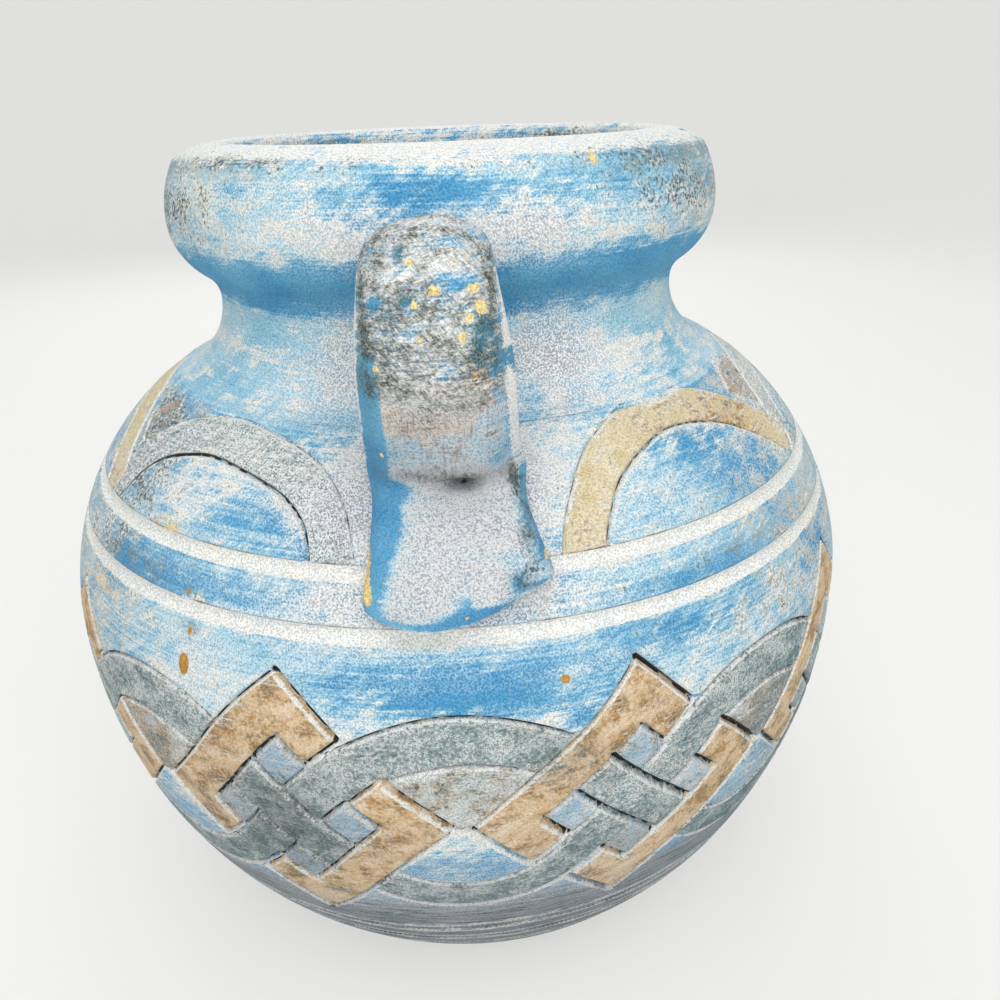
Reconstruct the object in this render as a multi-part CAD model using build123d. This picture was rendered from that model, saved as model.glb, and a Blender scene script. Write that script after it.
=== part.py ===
from build123d import *
import os
from math import cos, pi, radians, sin, sqrt

# Hand-thrown earthenware jar in millimetres, standing on z = 0 with its turning axis on Z.
# The front handle is on -Y and the rear handle on +Y.

# Bowl
foot_radius = 71.5
foot_bevel = 2.0
belly_radius = 105.0
belly_height = 88.0
wall = 8.0
floor_thickness = 11.0
floor_corner = 9.0

# Neck and rolled collar, whose heights step down from the rim
rim_height = 200.5
collar_drop = 16.5
waist_drop = 19.0
neck_drop = 17.0
root_radius = 69.0
neck_radius = 57.5
collar_radius = 67.5
collar_turn = 0.36
crease_inset = 3.5
crease_drop = 3.5
mouth_radius = 50.0
lip_round = 3.5
throat_round = 5.0

# Lines turned into the wall: two finger grooves below the neck's root, three rings above the foot
groove_drops = (21.6, 31.8)
groove_width = 3.6
groove_depth = 1.1
ring_heights = (33.0, 25.0, 16.0)
ring_width = 2.4
ring_depth = 0.7

# Interlace carved round the belly: square rings of two hooks, crossed by strands that arch between them.
# It is drawn on the unrolled wall, and its middle lies below the belly's widest line.
units = 9
first_unit = 20.0
frieze_drop = 14.0
ring_side = 49.4
hook_width = 10.3
strand_width = 11.2
upper_bend = 36.0
lower_bend = 32.0
lower_strand_width = 9.4
cut_width = 1.6
cut_depth = 1.0
cut_reach = 25.0

# Pulled strap handle with a thumb-pressed foot, whose lower drops are from the neck's root
handle_width = 22.8
handle_thickness = 14.0
handle_root_drop = 10.0
handle_rise = 17.0
handle_reach = 48.0
handle_lead = 0.38
handle_tuck = 24.7
handle_waist_drop = 7.4
handle_flare_width = 31.5
handle_foot_drop = 27.5
handle_foot_width = 36.0
handle_foot_thickness = 7.0
thumb_radius = 14.0
thumb_depth = 2.5
thumb_place = 0.73
even_places = (0.0, 0.16, 0.32, 0.5, 0.68)
flare_place = 0.84

# Clay slip that lutes the pieces together
slip = 1.0

collar_height = rim_height - collar_drop
neck_height = collar_height - waist_drop
root_height = neck_height - neck_drop

foot_edge = (foot_radius, foot_bevel)
belly = (belly_radius, belly_height)
root = (root_radius, root_height)
waist = (neck_radius, neck_height)
bulge = (collar_radius, collar_height)
crease = (collar_radius - crease_inset, rim_height - crease_drop)
lip_top = (mouth_radius + lip_round, rim_height)
lip_inside = (mouth_radius, rim_height - lip_round)

# The neck's hollow curve runs into the collar's roll on the line between their two ends.
turn = (
    neck_radius + collar_turn * (collar_radius - neck_radius),
    neck_height + collar_turn * (collar_height - neck_height),
)


def arc_radius(upright, other):
    # radius of the arc that is upright at one end and passes through the other
    dr = other[0] - upright[0]
    dz = other[1] - upright[1]
    return (dr * dr + dz * dz) / (2 * abs(dr))


shoulder_arc = arc_radius(belly, root)
lower_arc = arc_radius(belly, foot_edge)


def wall_point(height, proud=0.0):
    # point on the bowl's outside at this height, moved out square to the surface
    bend = shoulder_arc if height > belly_height else lower_arc
    rise = height - belly_height
    run = sqrt(bend * bend - rise * rise)
    grow = (bend + proud) / bend
    return (belly_radius - bend + run * grow, belly_height + rise * grow)


def jar_outline(grow=0.0):
    # outside of bowl, neck and collar from the foot to the lip's crest, closed along the axis
    def out(point):
        return (point[0] + grow, point[1])

    base_edge = out((foot_radius - foot_bevel, 0))
    return make_face(
        [
            Line((0, 0), base_edge),
            Line(base_edge, out(foot_edge)),
            TangentArc(out(belly), out(foot_edge), tangent=(0, -1)),
            TangentArc(out(belly), out(root), tangent=(0, 1)),
            TangentArc(out(waist), out(root), tangent=(0, -1)),
            TangentArc(out(waist), out(turn), tangent=(0, 1)),
            TangentArc(out(bulge), out(turn), tangent=(0, -1)),
            TangentArc(out(bulge), out(crease), tangent=(0, 1)),
            TangentArc(out(lip_top), out(crease), tangent=(1, 0)),
            Line(out(lip_top), (0, rim_height)),
            Line((0, rim_height), (0, 0)),
        ]
    )


def spin(profile):
    # turn a half profile about the jar's axis
    return revolve(Plane.XZ * profile, Axis.Z)


def hollow():
    # space inside: one wall in from the bowl, then straight up through the mouth
    inner_bend = shoulder_arc - wall
    centre = belly_radius - shoulder_arc
    throat = (mouth_radius, belly_height + sqrt(inner_bend**2 - (mouth_radius - centre) ** 2))
    inner_belly = (belly_radius - wall, belly_height)
    corner = (foot_radius - wall, floor_thickness)
    profile = make_face(
        [
            Line((0, floor_thickness), corner),
            TangentArc(inner_belly, corner, tangent=(0, -1)),
            TangentArc(inner_belly, throat, tangent=(0, 1)),
            Line(throat, lip_inside),
            TangentArc(lip_top, lip_inside, tangent=(-1, 0)),
            Line(lip_top, (0, rim_height)),
            Line((0, rim_height), (0, floor_thickness)),
        ]
    )
    profile = fillet(profile.vertices().sort_by_distance((*corner, 0))[0], floor_corner)
    profile = fillet(profile.vertices().sort_by_distance((*throat, 0))[0], throat_round)
    return spin(profile)


def turned_groove(height, width, depth):
    # ring that cuts a round-bottomed groove of this width and depth into the bowl
    tool = (width * width / 4 + depth * depth) / (2 * depth)
    r, z = wall_point(height, tool - depth)
    return Pos(0, 0, z) * Torus(r, tool)


def solid_jar():
    # the jar before it is hollowed, with its turned lines
    jar = spin(jar_outline())
    jar -= [turned_groove(root_height - drop, groove_width, groove_depth) for drop in groove_drops]
    jar -= [turned_groove(z, ring_width, ring_depth) for z in ring_heights]
    return jar


def slanted(rise, fall):
    # place on the unrolled wall, from distances up to the right and down to the right
    return ((rise + fall) / sqrt(2), (rise - fall) / sqrt(2))


def on_wall(spot):
    # a place of the frieze, seen square on: across the wall and height
    along = spot[1] - frieze_drop
    bend = shoulder_arc if along > 0 else lower_arc
    radius = belly_radius - bend * (1 - cos(along / bend))
    return (radius * sin(spot[0] / belly_radius), belly_height + bend * sin(along / bend))


def cut_along(spots):
    return trace(Polyline([on_wall(spot) for spot in spots]), cut_width)


def hook_cuts():
    # outlines of one unit's two hooks and of the strands that cross inside them
    outer = ring_side / 2
    inner = outer - hook_width
    strand = strand_width / 2
    cuts = []
    for side in (1, -1):
        for edge in (outer, inner):
            hook = [(-edge, -strand), (-edge, -edge), (0, -edge), (edge, -edge), (edge, -strand)]
            cuts.append(cut_along([slanted(rise * side, fall * side) for rise, fall in hook]))
        cuts.append(cut_along([slanted(strand * side, -inner), slanted(strand * side, inner)]))
        for end in (1, -1):
            crossing = [slanted(reach * end, strand * side) for reach in (strand, outer)]
            cuts.append(cut_along(crossing))
    return Sketch() + cuts


def arch_cuts():
    # edges of the two strands that arch from one unit to the next, where they leave the hooks
    reach = pi * belly_radius / units * sqrt(2)
    cuts = []
    for bend, width, up in ((upper_bend, strand_width, 1), (lower_bend, lower_strand_width, -1)):
        straight = reach - bend
        sweep = radians(45) - (ring_side / 2 - straight) / bend
        middle = straight / sqrt(2) - bend / sqrt(2)
        for radius in (bend + width / 2, bend - width / 2):
            steps = [sweep * share for share in (-1, -0.5, 0, 0.5, 1)]
            spots = [(radius * sin(a), up * (middle + radius * cos(a))) for a in steps]
            cuts.append(trace(Spline([on_wall(spot) for spot in spots]), cut_width))
    return Sketch() + cuts


def frieze():
    # everything that the carving takes out of the wall
    core = spin(jar_outline(-cut_depth))
    step = 360 / units
    tools = []
    for cuts, first in ((hook_cuts(), first_unit), (arch_cuts(), first_unit + step / 2)):
        tool = extrude(Plane.XZ.offset(belly_radius - cut_reach) * cuts, 2 * cut_reach) - core
        tools += [Rot(0, 0, first + step * unit) * tool for unit in range(units)]
    return tools


def handle_line():
    # centre line of the strap: out of the collar, over its crest and down into the shoulder
    root_z = collar_height - handle_root_drop
    foot = wall_point(root_height - handle_foot_drop)
    guides = [
        (neck_radius, root_z),
        (collar_radius + handle_reach * handle_lead, root_z + handle_rise),
        (collar_radius + handle_reach, root_z + handle_rise),
        (foot[0] - handle_tuck, root_height - handle_waist_drop),
        foot,
    ]
    return Plane(origin=(0, 0, 0), x_dir=(0, -1, 0), z_dir=(-1, 0, 0)) * Bezier(*guides)


def strap():
    # uncut handle: oval sections along its line, even down to the waist, then flaring to the foot
    line = handle_line()
    stations = [(share, handle_width, handle_thickness) for share in even_places]
    stations.append((flare_place, handle_flare_width, handle_thickness))
    stations.append((1.0, handle_foot_width, handle_foot_thickness))
    sections = []
    for share, width, thickness in stations:
        across = Plane(origin=line @ share, x_dir=(1, 0, 0), z_dir=line % share)
        sections.append(across * Ellipse(width / 2, thickness / 2))
    outward = (line % thumb_place).cross(Vector(1, 0, 0))
    thumb = line @ thumb_place + outward * (handle_thickness / 2 + thumb_radius - thumb_depth)
    return loft(sections) - Pos(thumb) * Sphere(thumb_radius)


def save(piece, node):
    export_step(piece, f"parts/{node}.step")


def build():
    os.makedirs("parts", exist_ok=True)
    jar = solid_jar()
    shell = jar - hollow() - frieze()

    # bowl and collar are thrown apart and luted at the root of the neck
    seam_low = Plane.XY.offset(root_height - slip / 2)
    seam_high = Plane.XY.offset(root_height + slip / 2)
    upper = split(shell, seam_low, keep=Keep.TOP)
    save(split(shell, seam_low, keep=Keep.BOTTOM), "thrown_bowl")
    save(split(upper, seam_high, keep=Keep.BOTTOM), "neck_slip")
    save(split(upper, seam_high, keep=Keep.TOP), "rolled_collar")

    # a handle ends on its two pads of slip, which fill what is left down to the wall
    uncut = strap()
    coat = spin(jar_outline(slip))
    handle = uncut - coat
    foot_pad, top_pad = ((uncut & coat) - jar).solids().sort_by(Axis.Z)
    for side, turned in (("front", 0), ("rear", 180)):
        save(Rot(0, 0, turned) * handle, f"{side}_handle")
        save(Rot(0, 0, turned) * top_pad, f"{side}_handle_top_slip")
        save(Rot(0, 0, turned) * foot_pad, f"{side}_handle_foot_slip")


build()
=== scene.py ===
import math
import bpy
import numpy as np
from mathutils import Matrix, Vector
from mathutils.geometry import delaunay_2d_cdt


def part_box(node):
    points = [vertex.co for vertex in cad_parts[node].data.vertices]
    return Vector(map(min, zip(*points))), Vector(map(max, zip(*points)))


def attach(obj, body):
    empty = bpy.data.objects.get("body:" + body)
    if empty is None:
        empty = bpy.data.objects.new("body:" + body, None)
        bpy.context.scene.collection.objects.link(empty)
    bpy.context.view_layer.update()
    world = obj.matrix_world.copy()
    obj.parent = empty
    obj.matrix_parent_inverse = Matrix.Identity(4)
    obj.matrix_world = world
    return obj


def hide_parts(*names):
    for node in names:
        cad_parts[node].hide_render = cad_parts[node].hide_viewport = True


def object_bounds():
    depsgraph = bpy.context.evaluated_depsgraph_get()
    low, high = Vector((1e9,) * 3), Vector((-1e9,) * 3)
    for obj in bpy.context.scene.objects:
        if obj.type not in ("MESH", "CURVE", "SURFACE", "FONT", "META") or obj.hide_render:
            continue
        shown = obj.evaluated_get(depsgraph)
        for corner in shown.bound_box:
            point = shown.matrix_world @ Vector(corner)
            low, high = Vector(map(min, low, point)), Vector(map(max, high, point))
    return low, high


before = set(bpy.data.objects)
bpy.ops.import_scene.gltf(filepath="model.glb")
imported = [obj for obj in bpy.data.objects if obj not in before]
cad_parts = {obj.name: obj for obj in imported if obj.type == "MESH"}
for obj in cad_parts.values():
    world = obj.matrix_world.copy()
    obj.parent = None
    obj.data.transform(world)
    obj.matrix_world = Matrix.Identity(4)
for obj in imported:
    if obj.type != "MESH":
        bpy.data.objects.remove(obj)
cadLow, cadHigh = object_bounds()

mm = 0.001  # the scene is in metres, the jar's sizes are in mm and degrees
dice = np.random.default_rng(11)
diagonal = math.sqrt(2)

# Jar outline, as the clay was thrown. Overall sizes come from the frame.
jar = {
    "footRadius": 71.5,
    "footBevel": 2.0,
    "bellyHeight": 88.0,
    "rootRadius": 69.0,
    "rootHeight": 148.0,
    "neckRadius": 57.5,
    "neckHeight": 165.0,
    "collarRadius": 67.5,
    "collarHeight": 184.0,
    "collarTurn": 0.36,
    "creaseInset": 3.5,
    "creaseDrop": 3.5,
    "mouthRadius": 50.0,
    "lipRound": 3.5,
    "wall": 8.0,
    "floor": 11.0,
    # a thrown pot is never quite round: waves in a turn, start, change with height, mm out
    "wobble": [(2, 0.7, 0.021, 0.34), (3, -1.3, -0.034, 0.2), (7, 0, 0.11, 0.07)],
    "sharpEdge": 65,  # an edge that turns more than this is not shaded round
}
bellyRadius = cadHigh.x / mm
bellyHeight = jar["bellyHeight"]
rimHeight = cadHigh.z / mm
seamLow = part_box("thrown_bowl")[1].z / mm
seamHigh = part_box("rolled_collar")[0].z / mm
degree = math.radians(bellyRadius)  # one degree round the belly, in mm
turnLength = 360 * degree


def arcRadius(upright, other):
    across, along = other[0] - upright[0], other[1] - upright[1]
    return (across * across + along * along) / (2 * abs(across))


shoulderArc = arcRadius((bellyRadius, bellyHeight), (jar["rootRadius"], jar["rootHeight"]))
lowerArc = arcRadius((bellyRadius, bellyHeight), (jar["footRadius"], jar["footBevel"]))


def wallAt(s):
    # radius, height and outward slope of the bowl, s mm along its outside from the belly line
    bend = np.where(s > 0, shoulderArc, lowerArc)
    flat, lift = np.cos(s / bend), np.sin(s / bend)
    return bellyRadius - bend * (1 - flat), bellyHeight + bend * lift, flat, lift


def alongWall(height):
    bend = shoulderArc if height > bellyHeight else lowerArc
    return bend * math.asin((height - bellyHeight) / bend)


def uprightArc(upright, other, step):
    # points on the arc that is upright at its first end
    radius = arcRadius(upright, other)
    side = 1 if other[0] > upright[0] else -1
    full = math.asin((other[1] - upright[1]) / radius)
    turn = np.linspace(0, full, max(2, math.ceil(abs(full) * radius / step) + 1))
    across = upright[0] + side * radius * (1 - np.cos(turn))
    return np.stack([across, upright[1] + radius * np.sin(turn)], 1)


def waves(rows, az, up):
    a = np.radians(az)
    return sum(out * np.sin(count * a + start + up * climb) for count, start, climb, out in rows)


def handWobble(az, height):
    return waves(jar["wobble"], az, height)


def roundJar(az, radius, height):
    a = np.radians(az)
    return np.stack([radius * np.sin(a), -radius * np.cos(a), height], -1)


def smooth(low, high, value):
    share = np.clip((value - low) / (high - low), 0, 1)
    return share * share * (3 - 2 * share)


def stretch(value, rise, fall):
    # 1 between two ramps
    return smooth(*rise, value) * smooth(*fall, value)


def bump(value, middle, spread):
    return np.exp(-(((value - middle) / spread) ** 2))


def turnGap(az, middle):
    return (az - middle + 180) % 360 - 180


def handleGap(az):
    # degrees from the nearer handle
    return np.minimum(abs(turnGap(az, 0)), abs(turnGap(az, 180)))


def smoothRun(a, b, c, d, t):
    # smooth line from b to c, where a and d are the points before and after
    return 0.5 * (2 * b + (c - a) * t + (2 * a - 5 * b + 4 * c - d) * t**2 + (3 * b - a - 3 * c + d) * t**3)


def ringFaces(rows, columns, closed):
    # faces between rings of points, closed where the last ring meets the first
    faces = []
    for i in range(rows if closed else rows - 1):
        n = (i + 1) % rows
        for j in range(columns):
            k = (j + 1) % columns
            faces.append((i * columns + j, i * columns + k, n * columns + k, n * columns + j))
    return faces


def toLinear(code):
    parts = [int(code[i : i + 2], 16) / 255 for i in (1, 3, 5)]
    return [c / 12.92 if c <= 0.04045 else ((c + 0.055) / 1.055) ** 2.4 for c in parts] + [1.0]


def addNode(tree, kind, inputs=None, out=0, **settings):
    # inputs are values or sockets, and one output is given back
    node = tree.nodes.new("ShaderNode" + kind)
    for name, value in settings.items():
        setattr(node, name, value)
    for key, value in (inputs or {}).items():
        if isinstance(value, bpy.types.NodeSocket):
            tree.links.new(value, node.inputs[key])
        else:
            node.inputs[key].default_value = value
    return node.outputs[out] if len(node.outputs) else None


# Marks in the paint: width, depth and height of one mark in mm, detail, curl, and tilt in the front view
marks = {
    "strokes": ((18, 18, 0.8), 4.0, 0.5, 0),
    "bristles": ((9, 9, 0.42), 2.0, 0.0, 0),
    "swipes": ((9, 9, 0.9), 3.0, 0.0, 35),
    "sweeps": ((60, 60, 5.0), 2.0, 0.0, 0),
    "clouds": ((24, 24, 14), 2.0, 0.0, 0),
    "blots": ((5, 5, 4), 3.0, 0.0, 0),
    "scratches": ((1.9, 1.9, 0.4), 3.0, 1.6, 12),
    "nicks": ((1.7, 1.7, 0.4), 3.0, 1.6, -48),
    "combs": ((0.55, 2, 6), 2.0, 0.3, 0),
    "specks": ((0.75, 0.75, 0.75), 2.0, 0.0, 0),
    "grit": ((0.4, 0.4, 0.4), 1.0, 0.0, 0),
}

# Bisque earthenware painted with matt slip colour, then dry-brushed and rubbed: a chalky skin in which
# the grit of the clay breaks up every stroke. A paint is two tones, the mark that mixes them and, where
# it differs, how far the mark has to swing. A layer is a load, its paint, how soft its edge is, and the
# marks that break it up. A load is how much of a paint lies at a point, 1 for all of it.
paintedClay = {
    "roughness": 0.92,
    "ior": 1.45,
    "gritHeight": 0.16,
    "strokeHeight": 0.05,
    "swing": 0.15,
    "pepper": ("#CDCED1", "#FFFFFF", "grit", 0.12),
    "clay": ("#D9B27E", "#C4935B", "blots"),
    "layers": [
        ("blue", ("#4A9CCC", "#6DB8DD", "clouds"), 0.2, {"strokes": 0.9, "grit": 0.3}),
        ("pale", ("#9BD0E6", "#C6E6F1", "clouds"), 0.36,
         {"strokes": 1.2, "bristles": 0.9, "swipes": 1.0, "blots": 1.3, "clouds": 0.8, "grit": 0.4}),
        # a grey wash that darkens the foot, partly painted shade under the belly
        ("washAndShade", ("#4F575E", "#A6ADB4", "bristles", 0.11), 0.5, {"strokes": 1.6, "grit": 0.6}),
        ("tan", ("#DDB581", "#F4E3C6", "swipes", 0.2), 0.3, {"grit": 0.5, "blots": 0.3}),
        ("ochre", ("#DCC898", "#F3E8CC", "blots", 0.2), 0.2, {"grit": 0.3}),
        ("grey", ("#98A5A3", "#EEF2EE", "grit", 0.11), 0.2, {"grit": 0.3}),
        ("rose", ("#D8BFB8", "#BF9F98", "grit"), 0.2, {"grit": 0.5}),
        ("rust", ("#80602C", "#C48E3C", "swipes"), 0.3,
         {"blots": 2.2, "swipes": 1.0, "specks": 1.2, "grit": 0.6}),
        ("teal", ("#315F6A", "#5B96A4", "specks"), 0.2,
         {"blots": 1.4, "bristles": 0.5, "specks": 1.3, "grit": 1.3}),
        ("white", ("#ECEFEE", "#F6F4EC", "blots"), 0.32,
         {"strokes": 1.0, "bristles": 1.1, "swipes": 1.1, "blots": 1.7, "clouds": 0.6, "grit": 0.6}),
        ("mist", ("#B1B5BC", "#F1F1F2", "grit", 0.12), 0.7,
         {"grit": 1.0, "clouds": 0.9, "strokes": 0.6, "sweeps": 0.6}),
        ("fleck", ("#F3F2E6", "#E3EBE8", "specks"), 0.28, {"blots": 1.4, "specks": 1.5, "grit": 0.7}),
        ("sand", ("#5F696B", "#848E8F", "specks"), 0.5, {"grit": 3.0}),
        ("hatch", ("#303A37", "#6E7973", "grit"), 0.42,
         {"scratches": 1.2, "nicks": 1.3, "specks": 0.7, "blots": 1.7, "grit": 0.7}),
        ("comb", ("#4A4440", "#7B6A58", "grit"), 0.4, {"combs": 2.0, "grit": 0.9}),
        ("soot", ("#2F4C54", "#587680", "grit"), 0.22, {"specks": 1.9, "blots": 0.9, "grit": 1.2}),
        ("cut", ("#181A1B", "#2C3132", "grit"), 0.3, {"blots": 0.9, "grit": 0.6}),
        ("chip", ("#F7E4AC", "#EAC67C", "specks"), 0.12, {"specks": 1.2, "grit": 0.5}),
        ("drip", ("#B27C2A", "#C99746", "blots"), 0.15, {"grit": 0.2}),
    ],
}
paints = [layer[0] for layer in paintedClay["layers"]]


def paintMaterial(name, recipe):
    material = bpy.data.materials.new(name)
    material.use_nodes = True
    tree = material.node_tree
    tree.nodes.clear()
    where = addNode(tree, "TexCoord", out="Object")
    found = {}
    for mark, (sizes, detail, curl, tilt) in marks.items():
        turned = {"Vector": where, "Angle": math.radians(tilt)}
        tilted = addNode(tree, "VectorRotate", turned, rotation_type="Y_AXIS")
        scaled = {0: tilted, 1: [1 / (mm * size) for size in sizes]}
        spot = addNode(tree, "VectorMath", scaled, operation="MULTIPLY")
        noise = {"Vector": spot, "Scale": 1.0, "Detail": detail, "Distortion": curl}
        found[mark] = addNode(tree, "TexNoise", noise)

    def twoTone(paint):
        one, other, mark, swing = (*paint, recipe["swing"])[:4]
        tone = addNode(tree, "MapRange", {0: found[mark], 1: 0.5 - swing, 2: 0.5 + swing})
        blend = {0: tone, 6: toLinear(one), 7: toLinear(other)}
        return addNode(tree, "Mix", blend, 2, data_type="RGBA")

    colour = twoTone(recipe["clay"])
    for load, paint, soft, broken in recipe["layers"]:
        amount = addNode(tree, "Attribute", out="Fac", attribute_name=load)
        level = addNode(tree, "Math", {0: amount, 1: 2.0}, operation="MULTIPLY")
        middle = 1.0
        for mark, gain in broken.items():
            more = {0: found[mark], 1: gain, 2: level}
            level = addNode(tree, "Math", more, operation="MULTIPLY_ADD")
            middle += 0.5 * gain
        edge = {0: level, 1: middle - soft, 2: middle + soft}
        cover = addNode(tree, "MapRange", edge, interpolation_type="SMOOTHSTEP")
        blend = {0: cover, 6: colour, 7: twoTone(paint)}
        colour = addNode(tree, "Mix", blend, 2, data_type="RGBA")
    pepper = {0: 1.0, 6: colour, 7: twoTone(recipe["pepper"])}
    colour = addNode(tree, "Mix", pepper, 2, data_type="RGBA", blend_type="MULTIPLY")
    gritty = {"Height": found["grit"], "Distance": recipe["gritHeight"] * mm}
    grain = addNode(tree, "Bump", gritty)
    brushed = {"Height": found["strokes"], "Distance": recipe["strokeHeight"] * mm, "Normal": grain}
    normal = addNode(tree, "Bump", brushed)
    shader = {"Base Color": colour, "Roughness": recipe["roughness"], "IOR": recipe["ior"], "Normal": normal}
    skin = addNode(tree, "BsdfPrincipled", shader)
    addNode(tree, "OutputMaterial", {"Surface": skin})
    return material


earthenware = paintMaterial("earthenware_slip_painted_dry_brushed", paintedClay)
print("paint mixed")


def addObject(name, data):
    thing = bpy.data.objects.new(name, data)
    bpy.context.scene.collection.objects.link(thing)
    return thing


def addMesh(name, points, faces, material):
    mesh = bpy.data.meshes.new(name)
    mesh.from_pydata(points, [], faces)
    mesh.validate()
    mesh.shade_smooth()
    mesh.materials.append(material)
    return addObject(name, mesh)


def makePiece(name, points, faces, loads, replaced):
    piece = addMesh(name, (np.asarray(points) * mm).tolist(), faces, earthenware)
    mesh = piece.data
    for load, values in loads.items():
        attribute = mesh.attributes.new(load, "FLOAT", "POINT")
        attribute.data.foreach_set("value", np.asarray(values, np.float32))
    mesh.set_sharp_from_angle(angle=math.radians(jar["sharpEdge"]))
    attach(piece, "root")
    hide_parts(*replaced)
    print("made", name, len(mesh.vertices), "points", len(mesh.polygons), "faces")


# Carved bands. A line is its points, half its width, depth and darkness, drawn on the unrolled wall:
# mm round the belly and mm up the wall.
frieze = {
    "units": 9,
    "first": 20.0,
    "middle": -14.0,
    "halfSide": 24.7,
    "strap": 10.3,
    "gap": 6.0,
    "strand": 5.4,
    "upperBend": 36.0,
    "lowerBend": 32.0,
    "lowerStrand": 4.7,
    "archSteps": 31,
    "tuck": 0.9,
    "wideCut": (1.0, 1.45, 0.95),
    "thinCut": (0.6, 0.9, 0.84),
    "archCut": (0.6, 0.9, 0.8),
    "vary": (0.85, 1.2),
}
unitTurn = 360 / frieze["units"]
pitch = unitTurn * degree
outer = frieze["halfSide"]
inner = outer - frieze["strap"]
gap = frieze["gap"]
strand = frieze["strand"]
hookCorners = [
    (-outer, -outer), (outer, -outer), (outer, -gap), (inner, -gap),
    (inner, -inner), (-inner, -inner), (-inner, -gap), (-outer, -gap),
]
# strands that arch from unit to unit: bend, half width, up or down
archStrands = [(frieze["upperBend"], strand, 1), (frieze["lowerBend"], frieze["lowerStrand"], -1)]


def slanted(rise, fall):
    # bands run at 45 degrees: rise is up to the right, fall is down to the right. The same turn leads back.
    return (rise + fall) / diagonal, (rise - fall) / diagonal


def inHook(x, y, spare=0.0):
    # a hook is one long arm with an arm at each end, and the unit's other hook is the same, turned half round
    rise, fall = slanted(x, y)
    reach = np.maximum(abs(rise), abs(fall))
    return (reach < outer + spare) & (reach > inner - spare) & (abs(fall) > gap - spare)


def underUnits(x, y):
    # where the units on both sides lie over the strands between them
    hit = np.zeros(np.shape(x), bool)
    for shift in (pitch / 2, -pitch / 2):
        inRing = np.maximum(abs(x + shift + y), abs(x + shift - y)) < inner * diagonal
        hit |= inHook(x + shift, y, frieze["tuck"]) | inRing
    return hit


def archEdge(bend, offset):
    # one edge of the strand that leaves a unit upwards to the right and enters the next one
    straight = pitch / diagonal - bend
    turn = np.radians(np.linspace(-45, 45, frieze["archSteps"]))
    crest = straight / diagonal - bend * math.cos(math.radians(45))
    curve = np.stack([(bend + offset) * np.sin(turn), crest + (bend + offset) * np.cos(turn)], 1)
    start, shift = inner / diagonal, offset / diagonal
    first = np.array([[-pitch / 2 + start - shift, start + shift]])
    return np.concatenate([first, curve, first * [-1, 1]])


def resampled(points, places):
    # points on a line, at the places that its length asks for
    length = np.concatenate([[0], np.cumsum(np.hypot(*np.diff(points, axis=0).T))])
    place = places(length[-1])
    return np.stack([np.interp(place, length, points[:, i]) for i in (0, 1)], 1)


def visibleRuns(points, hidden):
    # cuts a line where another band lies over it
    fine = resampled(points, lambda long: np.arange(0, long, carving["trace"]))
    keep = ~hidden(fine[:, 0], fine[:, 1])
    runs, start = [], None
    for i, shown in enumerate(np.append(keep, False)):
        if shown and start is None:
            start = i
        if not shown and start is not None:
            if i - start > carving["shortest"]:
                runs.append(fine[start:i:2])
            start = None
    return runs


def unitLines():
    wide, thin = frieze["wideCut"], frieze["thinCut"]
    lines = []
    for side in (1, -1):
        corners = [np.array(slanted(p * side, q * side)) for p, q in hookCorners]
        for i, start in enumerate(corners):
            j = (i + 1) % len(corners)
            falling = hookCorners[i][0] == hookCorners[j][0]
            lines.append((np.array([start, corners[j]]), *(wide if falling else thin)))
        lines.append((np.array([slanted(strand * side, -inner), slanted(strand * side, inner)]), *wide))
        for end in (1, -1):
            crossing = [slanted(reach * end, strand * side) for reach in (strand, inner)]
            lines.append((np.array(crossing), *thin))
    for bend, half, up in archStrands:
        for offset in (half, -half):
            for run in visibleRuns(archEdge(bend, offset) * [1, up], underUnits):
                lines.append((run + [pitch / 2, 0], *frieze["archCut"]))
    return lines


# Shoulder arches: middle line of each band as (azimuth, mm up the wall)
shoulder = {
    "half": 5.2,
    "floorGap": 2.2,
    "bandTuck": 0.6,
    "diamondTuck": 0.8,
    "step": 1.5,
    "innerCut": (0.75, 0.9, 0.95),
    "ochreCut": (0.75, 0.9, 0.62),
    "outerCut": (0.45, 0.5, 0.55),
    "diamondCut": (0.45, 0.5, 0.62),
    "ochreArch": [(16.2, 40.8), (18.3, 50), (24, 61), (36, 68.6), (48, 66), (57, 57.5), (63.5, 48.5)],
    "greyMiddle": [(66, 43.5), (68.5, 54), (75.5, 62), (90, 66.5), (104.5, 62), (111.5, 54), (114, 43.5)],
    "greyArch": [(-14, 40.8), (-17, 53), (-24, 61), (-37.5, 65.4), (-47, 63), (-53.5, 57), (-58, 46)],
    "ochreMiddle": [(-61, 46.5), (-67, 56), (-75, 63), (-90, 67), (-105, 63), (-113, 56), (-119, 46.5)],
    "diamonds": [
        [(58.5, 64.5), (67, 73), (75, 69), (66.5, 56)],
        [(-64.5, 62.5), (-59, 70), (-53.5, 64.5), (-59, 56)],
    ],
}


def throughPoints(points):
    # smooth line through a few points
    p = np.array(points, float) * [degree, 1]
    padded = np.concatenate([[2 * p[0] - p[1]], p, [2 * p[-1] - p[-2]]])
    run = []
    for a, b, c, d in zip(padded, padded[1:], padded[2:], padded[3:]):
        steps = max(2, int(np.hypot(*(c - b)) / shoulder["step"]))
        run.append(smoothRun(a, b, c, d, np.linspace(0, 1, steps, endpoint=False)[:, None]))
    return np.concatenate([*run, p[-1:]])


def oneLong(rows):
    return rows / np.hypot(*rows.T)[:, None]


def besideLine(line, offset):
    ahead = oneLong(np.gradient(line, axis=0))
    return line + offset * np.stack([-ahead[:, 1], ahead[:, 0]], 1)


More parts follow.
